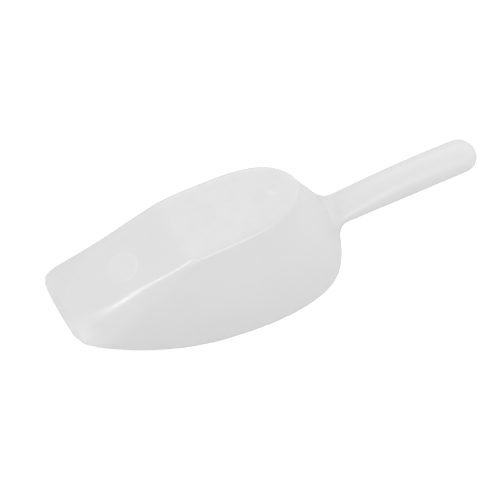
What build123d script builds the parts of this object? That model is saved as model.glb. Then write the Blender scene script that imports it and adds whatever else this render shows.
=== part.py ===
from build123d import *
import math
import os

# Ice scoop lying face down: z = 0 is the plane of the rim and of the grip's palm side,
# +Z points out of the bowl's flat bottom, +X runs from the lip to the end of the handle,
# and the part is symmetric about the XZ plane. The origin is the centre of the footprint.
# Millimetres throughout. "Distance" always means the distance along X from the lip.

# Overall sizes
length = 250.0
bowl_height = 52.5
wall = 2.0
lip_x = -length / 2
handle_end_x = length / 2

# Bowl, side view
lip_height = 22.5
ramp_middle = (37.0, 38.6)
crease_distance = 70.0
crease_radius = 18.0
ramp_slope = math.degrees(math.atan2(bowl_height - lip_height, crease_distance))
# The rim sweeps down from the lip to the level part in one curve with these control points.
rim_sweep = [(0.0, 20.0), (14.0, 16.3), (29.0, 0.0), (76.0, 0.0)]

# Bowl, plan view, one side of each outline. A rim station is the distance, the half width and
# the direction the wall faces, in degrees from +Y towards +X. A floor station is the point
# above it where the side wall would meet the level of the flat bottom.
rim_stations = [
    (-6.0, 30.2, -11.0),
    (37.0, 38.3, -11.0),
    (69.0, 44.2, -8.0),
    (103.0, 47.2, 0.0),
    (130.0, 44.4, 14.0),
    (148.2, 37.2, 43.0),
    (158.0, 23.0, 62.0),
    (163.6, 0.0, 90.0),
]
floor_stations = [
    (-6.0, 9.8),
    (37.0, 15.2),
    (69.0, 19.5),
    (95.0, 20.9),
    (120.0, 18.6),
    (131.0, 14.6),
    (138.5, 8.2),
    (142.0, 0.0),
]
floor_edge_radius = 5.0
# Height above the lip where the edge between ramp and side wall ends and its rounding stops
edge_start_rise = 3.0
lip_bow = 0.8
lip_corner_half_width = 22.0
lip_corner_radius = 6.0
lip_flank = (24.0, 50.0)

# Marks left by the mould: a raised disc on the ramp and a gate dimple in the flat bottom
disc_distance = 37.0
disc_radius = 8.5
disc_rise = 0.4
gate_distance = 128.5
gate_radius = 2.4
gate_depth = 0.3

# Handle
root_distance = 158.0
root_half_width = 8.7
end_half_width = 10.0
root_height = 8.6
end_height = 12.4
grip_top_radius = 5.0
grip_palm_radius = 3.2
grip_wall = 4.2
crown_wall = 2.2
palm_level = 0.2
# Neck flare: distance, half width and height of each arch over the handle's root
neck_arches = [
    (144.0, 20.0, 34.0),
    (151.0, 21.5, 25.5),
    (158.0, 18.0, 15.0),
    (164.0, 12.0, 10.4),
    (171.0, 5.5, 8.4),
]
neck_level = 0.3

# Cover plate, let into the mouth of the grip's hollow. It rests on the bosses and ribs
# inside the grip, and its pegs press into the bosses.
hollow_distance = 169.5
cover_thickness = 2.0
cover_gap = 0.1
peg_radius = 1.6
peg_clearance = 0.05
peg_length = 3.6
socket_depth = 4.0
boss_radius = 3.2
peg_distances = (183.0, 229.0)
rib_thickness = 1.4
rib_distances = (195.0, 206.0, 217.0)

# How far a solid that cuts or trims another reaches past it
reach = 1.0
side_reach = 60.0
lead_in = 8.0
behind_bowl = 170.0


def along(distance):
    """The x coordinate of a point at this distance from the lip."""
    return lip_x + distance


def closed_outline(points, level):
    """A sketch at a level, from the points along one side of a symmetric outline."""
    with BuildSketch(Plane.XY.offset(level)) as sketch:
        with BuildLine():
            side = Spline(*points, tangents=[(1, 0.15), (0, -1)])
            Line((points[0][0], 0), side @ 0)
            mirror(about=Plane.XZ)
        make_face()
    return sketch.sketch


def bowl_outlines(skin):
    """The rim and floor outlines of the bowl's wall, moved in by a skin thickness."""
    lean = math.atan2(rim_stations[3][1] - floor_stations[3][1], bowl_height)
    inset = skin / math.cos(lean)
    rim = []
    floor = []
    for (distance, half_width, heading), (floor_distance, floor_half_width) in zip(
        rim_stations, floor_stations
    ):
        step_x = inset * math.sin(math.radians(heading))
        step_y = inset * math.cos(math.radians(heading))
        rim.append((along(distance) - step_x, half_width - step_y))
        floor.append((along(floor_distance) - step_x, floor_half_width - step_y))
    return closed_outline(rim, 0), closed_outline(floor, bowl_height)


def side_view(skin):
    """The bowl's side view: ramp, flat bottom, back, level rim and the sweep up to the lip."""
    drop = skin / math.cos(math.radians(ramp_slope))
    top_level = bowl_height - skin
    back_x = along(behind_bowl)
    with BuildSketch(Plane.XZ) as sketch:
        with BuildLine():
            ramp = ThreePointArc(
                (lip_x, lip_height - drop),
                (along(ramp_middle[0]), ramp_middle[1] - drop),
                (along(crease_distance) + skin * math.tan(math.radians(ramp_slope / 2)), top_level),
            )
            Polyline(ramp @ 1, (back_x, top_level), (back_x, 0))
            if skin:
                open_end = ramp @ 0 - (ramp % 0) * lead_in
                Polyline((back_x, 0), (open_end.X, 0), open_end, ramp @ 0)
            else:
                sweep = Bezier(*[(along(d), z) for d, z in rim_sweep])
                Line((back_x, 0), sweep @ 1)
                Line(sweep @ 0, ramp @ 0)
        make_face()
    return sketch.sketch


def bowl_solid(skin):
    """A solid bowl, moved in by a skin thickness: skin 0 is the outside, wall is the hollow."""
    with BuildPart() as cut:
        extrude(side_view(skin), amount=side_reach, both=True)
        crossing_edges = cut.edges().filter_by(Axis.Y)
        crease = crossing_edges.sort_by_distance((along(crease_distance), 0, bowl_height))[0]
        fillet(crease, crease_radius + skin)
    with BuildPart() as solid:
        loft(sections=bowl_outlines(skin), ruled=True)
        add(cut.part, mode=Mode.INTERSECT)
        high_edges = solid.edges().filter_by(lambda e: e.center().Z > lip_height + edge_start_rise)
        fillet(high_edges.filter_by(GeomType.LINE, reverse=True), floor_edge_radius - skin)
    return solid.part


def grip_plan(inset):
    """The grip's plan outline, moved in by inset: two circles and the lines that touch both."""
    with BuildSketch(Plane.XY.offset(palm_level)) as sketch:
        with Locations((along(root_distance), 0)):
            Circle(root_half_width - inset)
        with Locations((handle_end_x - end_half_width, 0)):
            Circle(end_half_width - inset)
        make_hull()
    return sketch.sketch


def grip_hollow_plan(inset, level):
    """Plan of the hollow inside the grip, moved in by inset, at a level."""
    front_radius = root_half_width - grip_wall
    with BuildSketch(Plane.XY.offset(level)) as sketch:
        with Locations((along(hollow_distance) + front_radius, 0)):
            Circle(front_radius - inset)
        with Locations((handle_end_x - end_half_width, 0)):
            Circle(end_half_width - grip_wall - inset)
        make_hull()
    return sketch.sketch


def grip_wedge(drop):
    """A solid wedge under the grip's sloping crown, lowered by drop, to cut the grip with."""
    front = root_distance - 2 * root_half_width
    back = length + reach
    with BuildPart() as wedge:
        with BuildSketch(Plane.XZ):
            with BuildLine():
                Polyline(
                    (along(front), 0),
                    (along(back), 0),
                    (along(back), crown_level(back) - drop),
                    (along(front), crown_level(front) - drop),
                    close=True,
                )
            make_face()
        extrude(amount=side_reach, both=True)
    return wedge.part


def crown_level(distance):
    """Height of the grip's sloping crown over a point on its centre line."""
    share = (distance - root_distance) / (length - root_distance)
    return root_height + share * (end_height - root_height)


def pegs(radius, low, height):
    """Upright cylinders at the peg positions."""
    with BuildPart() as cylinders:
        with BuildSketch(Plane.XY.offset(low)):
            with Locations(*[(along(distance), 0) for distance in peg_distances]):
                Circle(radius)
        extrude(amount=height)
    return cylinders.part


outside = bowl_solid(0)
hollow = bowl_solid(wall)

# Plan of the lip: a slightly bowed front edge with rounded corners
with BuildPart() as lip_plan:
    with BuildSketch(Plane.XY):
        with BuildLine():
            front = ThreePointArc(
                (along(lip_bow), -lip_corner_half_width),
                (lip_x, 0),
                (along(lip_bow), lip_corner_half_width),
            )
            Polyline(
                front @ 1,
                (along(lip_flank[0]), lip_flank[1]),
                (handle_end_x, lip_flank[1]),
                (handle_end_x, -lip_flank[1]),
                (along(lip_flank[0]), -lip_flank[1]),
                front @ 0,
            )
        make_face()
    extrude(amount=bowl_height + reach)
    fillet(lip_plan.edges().filter_by(Axis.Z).group_by(Axis.X)[0], lip_corner_radius)

# The whole grip as one solid bar, before it is hollowed
with BuildPart() as grip_bar:
    extrude(grip_plan(0), amount=end_height + reach)
    add(grip_wedge(0), mode=Mode.INTERSECT)
    fillet(grip_bar.edges().group_by(Axis.Z)[-1], grip_top_radius)
    fillet(grip_bar.faces().sort_by(Axis.Z)[0].edges(), grip_palm_radius)

# The neck: arches that shrink from the bowl's back wall to the grip
with BuildPart() as neck:
    arches = []
    for distance, half_width, height in neck_arches:
        with BuildSketch(Plane.YZ.offset(along(distance))) as arch:
            with BuildLine():
                crown = EllipticalCenterArc((0, neck_level), half_width, height - neck_level, arc_size=180)
                Line(crown @ 1, crown @ 0)
            make_face()
        arches.append(arch.sketch)
    loft(sections=arches)

# The grip's hollow above the cover, with the bosses and cross ribs left standing in it
cover_level = palm_level + cover_thickness
with BuildPart() as grip_hollow:
    extrude(grip_hollow_plan(0, cover_level), amount=end_height)
    add(grip_wedge(crown_wall), mode=Mode.INTERSECT)
    add(pegs(boss_radius, cover_level, end_height), mode=Mode.SUBTRACT)
    with BuildSketch(Plane.XY.offset(cover_level)):
        with Locations(*[(along(distance), 0) for distance in rib_distances]):
            Rectangle(rib_thickness, 2 * end_half_width)
    extrude(amount=end_height, mode=Mode.SUBTRACT)

with BuildPart() as scoop_body:
    add(outside)
    add(lip_plan.part, mode=Mode.INTERSECT)
    add(grip_bar.part)
    add(neck.part)
    add(hollow, mode=Mode.SUBTRACT)
    add(grip_hollow.part, mode=Mode.SUBTRACT)
    extrude(
        grip_hollow_plan(0, palm_level - reach),
        amount=cover_thickness + reach,
        mode=Mode.SUBTRACT,
    )
    add(pegs(peg_radius + peg_clearance, cover_level, socket_depth), mode=Mode.SUBTRACT)
    # Raised disc on the ramp
    ramp_normal = Vector(-math.sin(math.radians(ramp_slope)), 0, math.cos(math.radians(ramp_slope)))
    disc_plane = Plane(origin=(along(disc_distance), 0, ramp_middle[1] - wall / 2), z_dir=ramp_normal)
    with BuildSketch(disc_plane):
        Circle(disc_radius)
    extrude(amount=wall / 2 + disc_rise)
    # Gate dimple in the flat bottom
    with BuildSketch(Plane.XY.offset(bowl_height)):
        with Locations((along(gate_distance), 0)):
            Circle(gate_radius)
    extrude(amount=-gate_depth, mode=Mode.SUBTRACT)
scoop_body.part.label = "scoop_body"

with BuildPart() as handle_cover:
    extrude(grip_hollow_plan(cover_gap, palm_level), amount=cover_thickness)
    add(pegs(peg_radius, cover_level - cover_thickness / 2, peg_length + cover_thickness / 2))
handle_cover.part.label = "handle_cover"

os.makedirs("parts", exist_ok=True)
export_step(scoop_body.part, "parts/scoop_body.step")
export_step(handle_cover.part, "parts/handle_cover.step")
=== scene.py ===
import math

import bpy
import numpy as np
import openvdb
from mathutils import Matrix, Vector


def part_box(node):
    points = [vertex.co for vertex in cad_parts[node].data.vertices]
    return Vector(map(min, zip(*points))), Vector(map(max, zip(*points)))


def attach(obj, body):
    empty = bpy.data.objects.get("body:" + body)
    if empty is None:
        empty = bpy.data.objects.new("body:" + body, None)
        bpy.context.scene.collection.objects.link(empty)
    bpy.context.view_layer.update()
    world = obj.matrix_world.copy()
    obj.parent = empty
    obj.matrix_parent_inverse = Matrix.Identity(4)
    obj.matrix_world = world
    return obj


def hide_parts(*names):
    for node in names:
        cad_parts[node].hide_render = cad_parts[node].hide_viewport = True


# A moulded plastic ice scoop lying face down. The body is built here as one distance field:
# bowl, handle and neck are simple forms joined with rounded blends, the hollow and the rim are
# cut away, and the zero surface becomes a quad mesh. Everything is in millimetres, in the row
# frame, until the mesh is made. Distances along the scoop are measured along +X from the lip.

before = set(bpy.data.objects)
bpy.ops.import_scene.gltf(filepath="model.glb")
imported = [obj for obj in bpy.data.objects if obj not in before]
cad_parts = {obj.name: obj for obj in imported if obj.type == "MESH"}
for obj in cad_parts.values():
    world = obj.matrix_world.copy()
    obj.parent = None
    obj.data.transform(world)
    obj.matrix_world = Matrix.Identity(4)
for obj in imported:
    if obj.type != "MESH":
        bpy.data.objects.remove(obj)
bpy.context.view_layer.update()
MM = 0.001

# Driving dimensions, from the frame
body_low, body_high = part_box("scoop_body")
LIP_X = body_low.x / MM
END_X = body_high.x / MM
LENGTH = END_X - LIP_X
HALF_WIDTH = body_high.y / MM
BOWL_HEIGHT = body_high.z / MM

# Field resolution
CELL = 0.6
MARGIN = 3.0
FIELD_LIMIT = 3.0
SOFTEN_PASSES = 6
OUTLINE_POINTS = 420
SWEEP_POINTS = 200
TINY = 1e-6

# Bowl walls: points of the rim outline and, above each, of the outline where the wall would
# meet the level of the flat bottom. Each is (distance, half width).
WALL_STATIONS = [
    ((-8.0, 32.4), (-8.0, 12.2)),
    ((37.0, 38.6), (37.0, 16.2)),
    ((69.0, 44.3), (69.0, 20.8)),
    ((103.0, 47.8), (95.0, 21.0)),
    ((130.5, 45.4), (120.0, 18.6)),
    ((148.1, 37.7), (131.0, 14.6)),
    ((158.3, 23.7), (138.5, 8.2)),
    ((163.8, 0.0), (142.0, 0.0)),
]
# Slope of the outlines at the front, and how far the wall surface is carried on past the rim
FRONT_FLARE = 0.19
FAR_SHARE = 10.0
WALL = 2.0

# Bowl top: a ramp that rises from the lip to the flat bottom over a soft crease
LIP_HEIGHT = 22.2
RAMP_MIDDLE = (37.0, 38.6)
CREASE_DISTANCE = 70.0
CREASE_BLEND = 2.2

# Shoulder between ramp and wall, by distance: half width where it leaves the ramp, its tilt in
# degrees, and how softly it meets the ramp. Behind the crease it runs out into the wall's edge.
SHOULDER_DISTANCES = [0.0, 6.0, 16.0, 25.0, 40.0, 51.0, 62.0, 70.0, 80.0, 100.0]
SHOULDER_HALF_WIDTHS = [9.0, 12.2, 17.0, 18.1, 18.3, 19.9, 21.6, 23.0, 26.0, 34.0]
SHOULDER_TILTS = [10.0, 21.0, 34.0, 38.0, 40.0, 42.0, 46.0, 50.0, 50.0, 50.0]
SHOULDER_BLENDS = [2.0, 2.2, 2.4, 2.1, 1.7, 1.4, 1.1, 1.0, 1.0, 1.0]
SHOULDER_SMOOTHING = 4.0
# How softly the wall meets the shoulder and, behind the crease, the flat bottom
WALL_BLENDS = [2.4, 3.0, 3.2, 3.0, 2.8, 2.5, 1.9, 1.6, 1.6, 1.6]

# Rim: control points of the sweep from the lip down to the level part (distance, height)
RIM_SWEEP = [(0.0, 19.4), (14.0, 16.3), (29.0, 0.4), (76.0, 0.0)]
RIM_OUTER_EDGE = 0.9
RIM_INNER_EDGE = 0.8

# Lip in plan: a bowed front edge between two flanks
LIP_DISTANCE = -1.3
LIP_BOW = 0.5
LIP_HALF_WIDTH = 23.8
LIP_FLANK_SLOPE = (23.2, 28.0)
LIP_CORNER_BLEND = 1.4
LIP_EDGE = 1.0

# Marks left by the mould
DISC_DISTANCE = 37.0
DISC_RADIUS = 8.5
DISC_RISE = 0.25
GATE_DISTANCE = 128.5
GATE_RADIUS = 2.4
GATE_DEPTH = 0.3
MARK_EDGE = 1.2

# Grip
ROOT_DISTANCE = 158.0
ROOT_HALF_WIDTH = 9.5
END_HALF_WIDTH = 9.9
ROOT_HEIGHT = 7.0
END_HEIGHT = 11.6
GRIP_ARCH = 5.2
# The grip's section is an oval, widest at this level and flattened by the palm plane below it
GRIP_WIDEST_LEVEL = 3.0
GRIP_LOWER_HEIGHT = 3.6
GRIP_PALM_EDGE = 0.8
# The palm side lies a little above the rim: where it starts to rise, and over what length
PALM_LEVEL = 0.2
PALM_START = 154.0
PALM_RUN = 16.0
NECK_BLEND = 5.8
GRIP_OVERLAP = 25.0

# Mouth in the palm side of the grip that the cover plate sits in: the centres and radii of the
# rounded ends of its plan
MOUTH_DISTANCES = (174.0, 240.0)
MOUTH_HALF_WIDTHS = (4.5, 5.8)
COVER_THICKNESS = 2.0

# Plastic: base tone and gloss, then how far wear, scratches, the mould's marks and painted light and shade
# change them.
# Each range is where an effect starts to change and where it stops, in mm: heights, distances
# from the lip, or depths below the flat bottom. Sizes of noise are in mm too.
BASE_TONE = 0.797
# Rendered pictures show a line across the neck at a roughness of 0.27 or 0.24, and none at 0.305
ROUGHNESS = 0.305
GLOSS_SIZE = 12.0
GLOSS_CHANGE = 0.025
NOISE_RANGE = (0.3, 0.7)
GRIP_ROUGHNESS = 0.11
# Painted light: the grip and neck are painted paler against the shade in the neck's hollow; the range below
# also sets where the grip is rubbed duller
GRIP_PAINTED_LIGHT = 0.045
GRIP_RUB_AND_PAINTED_LIGHT = (150.0, 172.0)
RIM_WEAR = (1.0, 5.0)
LIP_WEAR = (0.5, 4.0)
LIP_RUB = (0.0, 30.0)
LIP_ROUGHNESS = 0.17
FLAT_WEAR = (1.5, 0.3)
FLAT_WEAR_SHARE = 0.6
WEAR_PATCH_SIZE = 7.0
WEAR_PATCH_RANGE = (0.38, 0.62)
WEAR_GRAIN_SIZE = 0.9
WEAR_GRAIN_SHARE = 0.8
WEAR_TONE = 0.025
WEAR_ROUGHNESS = 0.12
SCRATCH_SIZE = 16.0
SCRATCH_TURNS = (9.0, -24.0)
SCRATCH_STRETCH = (0.18, 14.0, 14.0)
SCRATCH_CUT = (0.64, 0.7)
SCRATCH_PATCH_SIZE = 22.0
SCRATCH_PATCH_RANGE = (0.42, 0.6)
SCRATCH_LEAST = 0.1
SCRATCH_FACING = (0.4, 0.55)
SCRATCH_TONE = 0.01
SCRATCH_ROUGHNESS = 0.07
SCRATCH_DEPTH = 0.25
CLOUD_SIZE = 34.0
CLOUD_TONE = 0.006
DISC_TONE = 0.022
DISC_FADE = 0.6
# Painted shade: the tone darkens towards the rim, standing in for the shade on the lower walls
RIM_PAINTED_SHADE = 0.045
RIM_PAINTED_SHADE_HEIGHTS = (0.0, 42.0)
PEEL_HEIGHT = 0.02
PEEL_SIZE = 2.4
FINE_PEEL_SIZE = 0.7
FINE_PEEL_SHARE = 0.3
SUBSURFACE_SHARE = 0.3
SUBSURFACE_RADIUS = (1.0, 0.95, 0.9)
SUBSURFACE_DEPTH = 2.0

# Studio. Floor sizes and the camera's and lights' places are in metres.
FLOOR_HALF = 3.0
FLOOR_DROP = 0.0002
PAPER_GRAIN = 900.0
PAPER_RELIEF = 0.03
ROOM_STRENGTH = 0.93
FLOOR_GREY = 0.82
FLOOR_GLOW = 0.7
# Name, place, size, turn about its own axis in degrees, power, whether it lights matt surfaces
SOFT_LIGHTS = [
    ("ramp_strip", (-0.49, -0.12, 0.94), (0.46, 0.12), 46.8, 4.2, False),
    ("edge_strip", (0.12, -0.88, 0.38), (0.50, 0.30), 0.0, 2.4, False),
    ("far_side", (0.40, 0.86, 0.96), (0.7, 0.2), 0.0, 2.0, False),
    ("crease", (-0.11, 0.46, 0.88), (0.30, 0.30), 0.0, 0.30, False),
    ("handle_side", (1.2, 0.1, 0.5), (1.0, 1.0), 0.0, 1.2, True),
]

CAMERA_AZIMUTH = -26.5
CAMERA_ELEVATION = 59.0
VIEW_WIDTH = 0.270
VIEW_CENTRE = (-0.0110, -0.0004, 0.0)
CAMERA_REACH = 1.0


def smooth_steps(value):
    """Runs smoothly from 0 to 1 as value does."""
    t = np.clip(value, 0.0, 1.0)
    return t * t * (3 - 2 * t)


def round_cut(a, b, size):
    """Distance field of what is inside both a and b, with a rounded edge between them."""
    inner = np.minimum(-size, np.maximum(a, b))
    return inner + np.hypot(np.maximum(a + size, 0), np.maximum(b + size, 0))


def round_join(a, b, size):
    """Distance field of what is inside a or b, with a rounded hollow between them."""
    outer = np.maximum(size, np.minimum(a, b))
    return outer - np.hypot(np.maximum(size - a, 0), np.maximum(size - b, 0))


def curve_through(points, start, end, count):
    """A smooth curve through points, as count points, with these directions at its two ends."""
    knots = np.array(points, float)
    chords = np.linalg.norm(np.diff(knots, axis=0), axis=1)
    total = len(knots)
    matrix = np.zeros((total, total))
    right = np.zeros((total, 2))
    matrix[0, 0] = 1
    matrix[-1, -1] = 1
    right[0] = start
    right[-1] = end
    for i in range(1, total - 1):
        before = chords[i - 1]
        after = chords[i]
        matrix[i, i - 1] = after
        matrix[i, i] = 2 * (before + after)
        matrix[i, i + 1] = before
        right[i] = 3 * (
            after * (knots[i] - knots[i - 1]) / before + before * (knots[i + 1] - knots[i]) / after
        )
    slopes = np.linalg.solve(matrix, right)
    parts = []
    for i in range(total - 1):
        t = np.linspace(0, 1, count // (total - 1), endpoint=i == total - 2)[:, None]
        h = chords[i]
        parts.append(
            (2 * t**3 - 3 * t**2 + 1) * knots[i]
            + (t**3 - 2 * t**2 + t) * h * slopes[i]
            + (3 * t**2 - 2 * t**3) * knots[i + 1]
            + (t**3 - t**2) * h * slopes[i + 1]
        )
    return np.concatenate(parts)


def wall_heights(distance, half_width):
    """Height of the bowl's wall surface over each plan point, falling from floor outline to rim."""
    rim_points = [rim for rim, floor in WALL_STATIONS]
    floor_points = [floor for rim, floor in WALL_STATIONS]
    rim = curve_through(rim_points, (1, FRONT_FLARE), (0, -1), OUTLINE_POINTS)
    floor = curve_through(floor_points, (1, FRONT_FLARE / 2), (0, -1), OUTLINE_POINTS)
    rim, floor = rim[:-1], floor[:-1]
    heights = np.empty((len(distance), len(half_width)))
    for column, y in enumerate(np.maximum(half_width, CELL / 2)):
        share = (y - floor[:, 1]) / (rim[:, 1] - floor[:, 1])
        reach = floor[:, 0] + share * (rim[:, 0] - floor[:, 0])
        share = np.append(share, share[-1] + FAR_SHARE)
        reach = np.append(reach, reach[-1] + FAR_SHARE * (rim[-1, 0] - floor[-1, 0]))
        order = np.argsort(reach)
        heights[:, column] = BOWL_HEIGHT * (1 - np.interp(distance, reach[order], share[order]))
    return heights


def top_heights(distance, across):
    """Height of the bowl's ramp and flat bottom, without and with the mould marks."""
    near, high = RAMP_MIDDLE
    bow = np.polyfit([0.0, near, CREASE_DISTANCE], [LIP_HEIGHT, high, BOWL_HEIGHT], 2)
    ramp = np.polyval(bow, distance) - BOWL_HEIGHT
    gap = np.abs(ramp)
    soft = np.maximum(CREASE_BLEND - gap, 0) ** 2 / (4 * CREASE_BLEND)
    plain = (BOWL_HEIGHT + np.minimum(ramp, 0) - soft)[:, None] + 0 * across[None, :]
    ramp_slope = (BOWL_HEIGHT - LIP_HEIGHT) / CREASE_DISTANCE
    disc = np.hypot((distance[:, None] - DISC_DISTANCE) * math.hypot(1, ramp_slope), across[None, :])
    gate = np.hypot(distance[:, None] - GATE_DISTANCE, across[None, :])
    marked = plain + DISC_RISE * smooth_steps((DISC_RADIUS - disc) / MARK_EDGE + 0.5)
    marked = marked - GATE_DEPTH * smooth_steps((GATE_RADIUS - gate) / MARK_EDGE + 0.5)
    return plain, marked


def rim_heights(distance):
    """Height of the rim along the scoop."""
    t = np.linspace(0, 1, SWEEP_POINTS)
    weights = np.stack([(1 - t) ** 3, 3 * t * (1 - t) ** 2, 3 * t**2 * (1 - t), t**3], axis=1)
    sweep = weights @ np.array(RIM_SWEEP)
    lead = (sweep[1, 1] - sweep[0, 1]) / (sweep[1, 0] - sweep[0, 0])
    level = np.interp(distance, sweep[:, 0], sweep[:, 1])
    return np.where(distance < 0, sweep[0, 1] + lead * distance, level)


def soften(heights):
    """Evens out a height field over its neighbours, which hides the steps left by tabulating it."""
    for _ in range(SOFTEN_PASSES):
        wide = np.pad(heights, 1, mode="reflect", reflect_type="odd")
        sides = wide[:-2, 1:-1] + wide[2:, 1:-1] + wide[1:-1, :-2] + wide[1:-1, 2:]
        heights = (sides + 4 * heights) / 8
    return heights


def steepness(heights):
    """What turns a vertical gap over a height field into a distance: the cosine of its slope."""
    along, across = np.gradient(heights, CELL)
    return 1 / np.sqrt(1 + along**2 + across**2)


def grip_offset(distance, across):
    """How far a plan point is from the grip's centre line, which stops short of the rounded end."""
    past_centre = np.maximum(distance - (LENGTH - END_HALF_WIDTH), 0)
    return np.hypot(past_centre[:, None], across[None, :])


def grip_half_width(distance):
    """The grip's half width, which grows evenly towards its end."""
    centre = LENGTH - END_HALF_WIDTH
    share = (distance - ROOT_DISTANCE) / (centre - ROOT_DISTANCE)
    return ROOT_HALF_WIDTH + np.minimum(share, 1) * (END_HALF_WIDTH - ROOT_HALF_WIDTH)


def oval(offset, level, half_width, half_height):
    """Distance to an oval section, from the offset and level of points relative to its centre."""
    size = np.sqrt((offset / half_width) ** 2 + (level / half_height) ** 2)
    slope = np.sqrt((offset / half_width**2) ** 2 + (level / half_height**2) ** 2)
    return size * (size - 1) / np.maximum(slope, TINY)


def along_shoulder(distance, values):
    """A shoulder value for each distance, smoothed, shaped to combine with the whole grid."""
    spread = 2 * int(SHOULDER_SMOOTHING / CELL) + 1
    plain = np.interp(distance, SHOULDER_DISTANCES, values)
    padded = np.pad(plain, spread // 2, mode="edge")
    return np.convolve(padded, np.ones(spread) / spread, mode="valid")[:, None, None]


def body_fields(x, y, z):
    """Distance fields on the grid x, y, z. The greatest of them is the body, negative in the plastic."""
    distance = x - LIP_X
    across = np.abs(y)
    level = z[None, None, :]
    plain_top, marked_top = top_heights(distance, across)
    wall_top = soften(wall_heights(distance, across))
    plain_gap = (level - plain_top[:, :, None]) * steepness(plain_top)[:, :, None]
    marked_gap = (level - marked_top[:, :, None]) * steepness(plain_top)[:, :, None]
    wall_gap = (level - wall_top[:, :, None]) * steepness(wall_top)[:, :, None]
    shoulder = along_shoulder(distance, SHOULDER_HALF_WIDTHS)
    tilt = np.radians(along_shoulder(distance, SHOULDER_TILTS))
    outward = (np.sin(tilt) * (across[None, :, None] - shoulder)) + 0 * level
    soft = along_shoulder(distance, SHOULDER_BLENDS)
    wall_soft = along_shoulder(distance, WALL_BLENDS)
    marked_side = outward + np.cos(tilt) * marked_gap
    plain_side = outward + np.cos(tilt) * plain_gap
    bowl = round_cut(round_cut(marked_gap, marked_side, soft), wall_gap, wall_soft)
    inner_top = round_cut(plain_gap + WALL, plain_side + WALL, soft)
    hollow = round_cut(inner_top, wall_gap + WALL, wall_soft)
    # Grip, joined to the bowl by the neck's rounded blend
    share = np.clip((distance - ROOT_DISTANCE) / (LENGTH - ROOT_DISTANCE), 0, 1)
    crown = ROOT_HEIGHT + share * (END_HEIGHT - ROOT_HEIGHT) + GRIP_ARCH * 4 * share * (1 - share)
    offset = grip_offset(distance, across)[:, :, None]
    half_width = grip_half_width(distance)[:, None, None]
    over = level - GRIP_WIDEST_LEVEL
    half_height = np.where(over > 0, (crown - GRIP_WIDEST_LEVEL)[:, None, None], GRIP_LOWER_HEIGHT)
    grip = oval(offset, over, half_width, half_height)
    behind_bowl = (ROOT_DISTANCE - GRIP_OVERLAP - distance)[:, None, None]
    grip = np.maximum(grip, behind_bowl)
    outside = round_join(bowl, grip, NECK_BLEND)
    # Rim and palm plane, then the hollow
    floor_level = rim_heights(distance)
    rim_cosine = 1 / np.sqrt(1 + np.gradient(floor_level, CELL) ** 2)
    to_grip = smooth_steps((distance - PALM_START) / PALM_RUN)
    below = (floor_level + PALM_LEVEL * to_grip)[:, None, None] - level
    below = below * rim_cosine[:, None, None]
    edge_size = RIM_OUTER_EDGE + (GRIP_PALM_EDGE - RIM_OUTER_EDGE) * to_grip
    skin = round_cut(outside, below, edge_size[:, None, None])
    lining = round_cut(-hollow, below, RIM_INNER_EDGE)
    # Lip
    front = LIP_DISTANCE + LIP_BOW * (across[None, :] / LIP_HALF_WIDTH) ** 2 - distance[:, None]
    run, rise = LIP_FLANK_SLOPE
    flank = (
        -(distance[:, None] - LIP_DISTANCE - LIP_BOW) * rise + (across[None, :] - LIP_HALF_WIDTH) * run
    ) / math.hypot(run, rise)
    lip = round_cut(front, flank, LIP_CORNER_BLEND)[:, :, None]
    skin = round_cut(skin, lip, LIP_EDGE)
    lining = round_cut(lining, lip, RIM_INNER_EDGE)
    # Mouth for the cover plate
    mouth_half_width = np.interp(distance, MOUTH_DISTANCES, MOUTH_HALF_WIDTHS)
    past_start = np.minimum(distance - MOUTH_DISTANCES[0], 0)
    past_end = np.maximum(distance - MOUTH_DISTANCES[1], 0)
    mouth = np.hypot((past_start + past_end)[:, None], across[None, :]) - mouth_half_width[:, None]
    pocket = np.minimum(-mouth[:, :, None], PALM_LEVEL + COVER_THICKNESS - level)
    return [skin, lining, pocket]


def sample(field, places):
    """Values of a field (its last axis) at places given in cells, by linear interpolation."""
    base = np.clip(np.floor(places).astype(int), 0, np.array(field.shape[:3]) - 2)
    part = places - base
    result = 0
    for corner in range(8):
        step = np.array([corner & 1, corner >> 1 & 1, corner >> 2])
        weight = np.prod(np.where(step, part, 1 - part), axis=1)
        at = base + step
        result = result + weight[:, None] * field[at[:, 0], at[:, 1], at[:, 2]]
    return result


def build_body():
    """The scoop's body as a smooth quad mesh."""
    x = np.arange(LIP_X - MARGIN, END_X + MARGIN, CELL)
    y = np.arange(-HALF_WIDTH - MARGIN, HALF_WIDTH + MARGIN + CELL, CELL)
    y = y - (y[0] + y[-1]) / 2
    z = np.arange(-MARGIN, BOWL_HEIGHT + MARGIN, CELL)
    fields = [field.astype(np.float32) for field in body_fields(x, y, z)]
    solid = np.clip(np.maximum.reduce(fields), -FIELD_LIMIT, FIELD_LIMIT)
    grid = openvdb.FloatGrid(FIELD_LIMIT)
    grid.copyFromArray(solid)
    cells, quads = grid.convertToQuads(isovalue=0)
    # Each point is shaded by the one field that it lies on, so that thin walls stay smooth.
    nearest = np.argmax([sample(field[..., None], cells)[:, 0] for field in fields], axis=0)
    normals = np.zeros((len(cells), 3))
    for index, field in enumerate(fields):
        on_it = nearest == index
        slope = np.stack(np.gradient(field, CELL), axis=-1)
        normals[on_it] = sample(slope, cells[on_it])
    normals /= np.linalg.norm(normals, axis=1)[:, None]
    points = (np.array([x[0], y[0], z[0]]) + cells * CELL) * MM
    mesh = bpy.data.meshes.new("scoop_body_skin")
    mesh.from_pydata(points.tolist(), [], quads.tolist())
    mesh.shade_smooth()
    mesh.normals_split_custom_set_from_vertices(normals.tolist())
    body = bpy.data.objects.new("scoop_body_skin", mesh)
    bpy.context.scene.collection.objects.link(body)
    return body


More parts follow.
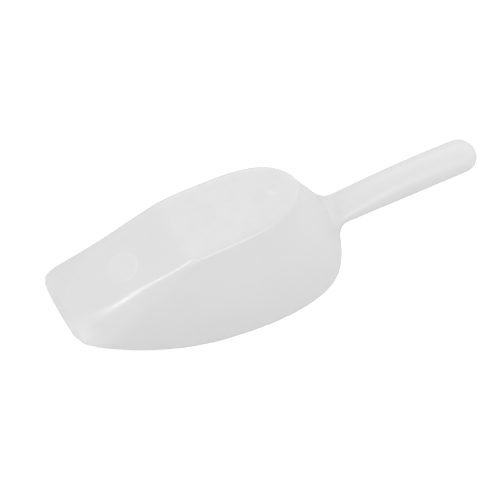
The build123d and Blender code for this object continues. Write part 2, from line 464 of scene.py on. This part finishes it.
def node_tree(material):
    """Empties a material's node tree and returns a function that adds a node and links its inputs."""
    material.use_nodes = True
    tree = material.node_tree
    tree.nodes.clear()

    def add(kind, settings=None, **inputs):
        node = tree.nodes.new(kind)
        for name, value in (settings or {}).items():
            setattr(node, name, value)
        for name, value in inputs.items():
            key = int(name[1:]) if name[1:].isdigit() else name.replace("_", " ")
            socket = node.inputs[key]
            if isinstance(value, bpy.types.NodeSocket):
                tree.links.new(value, socket)
            else:
                socket.default_value = value
        return node

    return add


def maths(add):
    """Shorthands for the value nodes that the plastic is made of."""

    def combine(operation, a, b):
        return add("ShaderNodeMath", {"operation": operation}, _0=a, _1=b).outputs[0]

    def remap(value, low, high, to_low, to_high):
        node = add("ShaderNodeMapRange", {"interpolation_type": "SMOOTHSTEP"}, Value=value)
        node.inputs["From Min"].default_value = low
        node.inputs["From Max"].default_value = high
        node.inputs["To Min"].default_value = to_low
        node.inputs["To Max"].default_value = to_high
        return node.outputs["Result"]

    return combine, remap


def moulded_white():
    """White moulded polypropylene: faint orange peel and flow clouds, fine drag scratches, a paler
    mould disc, a grip painted paler as painted light, painted shade that darkens towards the rim, a
    duller lip and grip, and a greyer, rougher skin where the scoop rubs: along the rim, at the lip and on the
    flat bottom."""
    material = bpy.data.materials.new("moulded_white")
    add = node_tree(material)
    combine, remap = maths(add)
    place = add("ShaderNodeTexCoord").outputs["Object"]
    xyz = add("ShaderNodeSeparateXYZ", Vector=place).outputs

    def noise(size, detail, stretch=(1, 1, 1), turn=0):
        turned = (0, 0, math.radians(turn))
        moved = add("ShaderNodeMapping", Vector=place, Rotation=turned, Scale=stretch)
        grain = add("ShaderNodeTexNoise", Vector=moved.outputs[0], Scale=1 / (size * MM), Detail=detail)
        return grain.outputs[0]

    def metres(lengths, start=0.0):
        return [(start + length) * MM for length in lengths]

    # Where the scoop rubs against ice, bins and worktops
    near_rim = remap(xyz["Z"], *metres(RIM_WEAR), 1, 0)
    near_lip = remap(xyz["X"], *metres(LIP_WEAR, LIP_X), 1, 0)
    on_flat = remap(xyz["Z"], *[(BOWL_HEIGHT - depth) * MM for depth in FLAT_WEAR], 0, FLAT_WEAR_SHARE)
    rubbed = combine("MAXIMUM", combine("MAXIMUM", near_rim, near_lip), on_flat)
    on_grip = remap(xyz["X"], *metres(GRIP_RUB_AND_PAINTED_LIGHT, LIP_X), 0, 1)
    patches = remap(noise(WEAR_PATCH_SIZE, 3), *WEAR_PATCH_RANGE, 0, 1)
    wear = combine("MULTIPLY", rubbed, patches)
    # Fine scratches, drawn out along two directions, in patches
    scratches = []
    for turn in SCRATCH_TURNS:
        lines = noise(SCRATCH_SIZE, 2, SCRATCH_STRETCH, turn)
        scratches.append(remap(lines, *SCRATCH_CUT, 0, 1))
    in_patch = remap(noise(SCRATCH_PATCH_SIZE, 2), *SCRATCH_PATCH_RANGE, SCRATCH_LEAST, 1)
    scratch = combine("MULTIPLY", combine("MAXIMUM", *scratches), in_patch)
    # They run along the scoop, so the faces across it have none
    normal = add("ShaderNodeNewGeometry").outputs["Normal"]
    facing = add("ShaderNodeSeparateXYZ", Vector=normal).outputs["X"]
    lengthwise = remap(combine("ABSOLUTE", facing, 0), *SCRATCH_FACING, 1, 0)
    scratch = combine("MULTIPLY", scratch, lengthwise)
    # Tone: slow clouds from the melt's flow, greyer where rubbed, a slightly paler mould disc, painted shade
    # darkening towards the rim and painted light on the grip
    clouds = remap(noise(CLOUD_SIZE, 3), *NOISE_RANGE, 1 - CLOUD_TONE, 1 + CLOUD_TONE)
    disc_place = ((LIP_X + DISC_DISTANCE) * MM, 0, 0)
    flat_place = add("ShaderNodeCombineXYZ", X=xyz["X"], Y=xyz["Y"])
    between = {"operation": "DISTANCE"}
    to_disc = add("ShaderNodeVectorMath", between, _0=flat_place.outputs[0], _1=disc_place)
    disc_size = metres((-DISC_FADE, DISC_FADE), DISC_RADIUS)
    disc = remap(to_disc.outputs["Value"], *disc_size, 1 + DISC_TONE, 1)
    # Painted shade: darker towards the rim
    painted_shade = remap(xyz["Z"], *metres(RIM_PAINTED_SHADE_HEIGHTS), 1 - RIM_PAINTED_SHADE, 1)
    tone = combine("MULTIPLY", combine("MULTIPLY", clouds, disc), painted_shade)
    tone = combine("MULTIPLY", tone, remap(wear, 0, 1, 1, 1 - WEAR_TONE))
    tone = combine("MULTIPLY", tone, remap(scratch, 0, 1, 1, 1 - SCRATCH_TONE))
    # Painted light: the grip is made paler
    tone = combine("MULTIPLY", tone, remap(on_grip, 0, 1, 1, 1 + GRIP_PAINTED_LIGHT))
    tone = combine("MULTIPLY", tone, BASE_TONE)
    colour = add("ShaderNodeCombineColor", Red=tone, Green=tone, Blue=tone).outputs[0]
    # Gloss
    gloss_range = (ROUGHNESS - GLOSS_CHANGE, ROUGHNESS + GLOSS_CHANGE)
    gloss = remap(noise(GLOSS_SIZE, 3), *NOISE_RANGE, *gloss_range)
    gloss = combine("ADD", gloss, combine("MULTIPLY", wear, WEAR_ROUGHNESS))
    gloss = combine("ADD", gloss, combine("MULTIPLY", on_grip, GRIP_ROUGHNESS))
    dull_lip = remap(xyz["X"], *metres(LIP_RUB, LIP_X), LIP_ROUGHNESS, 0)
    gloss = combine("ADD", gloss, dull_lip)
    gloss = combine("ADD", gloss, combine("MULTIPLY", scratch, SCRATCH_ROUGHNESS))
    # Relief
    peel = combine("ADD", noise(PEEL_SIZE, 2), combine("MULTIPLY", noise(FINE_PEEL_SIZE, 1), FINE_PEEL_SHARE))
    relief = combine("SUBTRACT", peel, combine("MULTIPLY", scratch, SCRATCH_DEPTH))
    worn_grain = combine("MULTIPLY", wear, noise(WEAR_GRAIN_SIZE, 3))
    relief = combine("ADD", relief, combine("MULTIPLY", worn_grain, WEAR_GRAIN_SHARE))
    bump = add("ShaderNodeBump", Strength=1.0, Distance=PEEL_HEIGHT * MM, Height=relief).outputs[0]
    shader = add(
        "ShaderNodeBsdfPrincipled", Base_Color=colour, Roughness=gloss, Normal=bump,
        Subsurface_Weight=SUBSURFACE_SHARE, Subsurface_Radius=SUBSURFACE_RADIUS,
        Subsurface_Scale=SUBSURFACE_DEPTH * MM,
    )
    add("ShaderNodeOutputMaterial", Surface=shader.outputs["BSDF"])
    return material


def floor_finish():
    """Pale matt floor with a faint paper grain, that the camera sees as a bright sweep."""
    material = bpy.data.materials.new("studio_floor")
    add = node_tree(material)
    place = add("ShaderNodeTexCoord").outputs["Object"]
    grain = add("ShaderNodeTexNoise", Vector=place, Scale=PAPER_GRAIN, Detail=3).outputs[0]
    relief = add("ShaderNodeBump", Strength=1.0, Distance=PAPER_RELIEF * MM, Height=grain).outputs[0]
    matt = add("ShaderNodeBsdfDiffuse", Color=(FLOOR_GREY, FLOOR_GREY, FLOOR_GREY, 1), Normal=relief)
    to_camera = add("ShaderNodeLightPath").outputs["Is Camera Ray"]
    seen = add("ShaderNodeMath", {"operation": "MULTIPLY"}, _0=to_camera, _1=FLOOR_GLOW).outputs[0]
    glow = add("ShaderNodeEmission", Strength=seen)
    both = add("ShaderNodeAddShader", _0=matt.outputs[0], _1=glow.outputs[0])
    add("ShaderNodeOutputMaterial", Surface=both.outputs[0])
    return material


def build_stage():
    """Plain floor, soft lights and the camera."""
    mesh = bpy.data.meshes.new("floor")
    half = FLOOR_HALF
    corners = [(-half, -half, 0), (half, -half, 0), (half, half, 0), (-half, half, 0)]
    mesh.from_pydata(corners, [], [(0, 1, 2, 3)])
    floor = bpy.data.objects.new("floor", mesh)
    floor.location.z = -FLOOR_DROP
    bpy.context.scene.collection.objects.link(floor)
    mesh.materials.append(floor_finish())

    world = bpy.data.worlds.new("soft_room")
    bpy.context.scene.world = world
    world.use_nodes = True
    world.node_tree.nodes["Background"].inputs["Color"].default_value = (1, 1, 1, 1)
    world.node_tree.nodes["Background"].inputs["Strength"].default_value = ROOM_STRENGTH

    for name, place, size, turn, power, diffuse in SOFT_LIGHTS:
        light = bpy.data.lights.new(name, "AREA")
        light.shape = "RECTANGLE"
        light.size, light.size_y = size
        light.energy = power
        lamp = bpy.data.objects.new(name, light)
        lamp.location = place
        aim = (-Vector(place)).to_track_quat("-Z", "Y").to_matrix().to_4x4()
        lamp.rotation_euler = (aim @ Matrix.Rotation(math.radians(turn), 4, "Z")).to_euler()
        lamp.visible_diffuse = diffuse
        bpy.context.scene.collection.objects.link(lamp)


def build_camera():
    """A long-lens style camera: the view has no visible perspective."""
    azimuth, elevation = math.radians(CAMERA_AZIMUTH), math.radians(CAMERA_ELEVATION)
    level = math.cos(elevation)
    back = Vector((math.sin(azimuth) * level, -math.cos(azimuth) * level, math.sin(elevation)))
    data = bpy.data.cameras.new("camera")
    data.type = "ORTHO"
    data.ortho_scale = VIEW_WIDTH
    camera = bpy.data.objects.new("camera", data)
    camera.location = Vector(VIEW_CENTRE) + back * CAMERA_REACH
    camera.rotation_euler = (-back).to_track_quat("-Z", "Y").to_euler()
    bpy.context.scene.collection.objects.link(camera)
    bpy.context.scene.camera = camera


plastic = moulded_white()
body = build_body()
body.data.materials.append(plastic)
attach(body, "root")
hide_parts("scoop_body")
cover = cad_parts["handle_cover"]
cover.data.materials.clear()
cover.data.materials.append(plastic)
build_stage()
build_camera()
bpy.context.scene.view_settings.view_transform = "Standard"
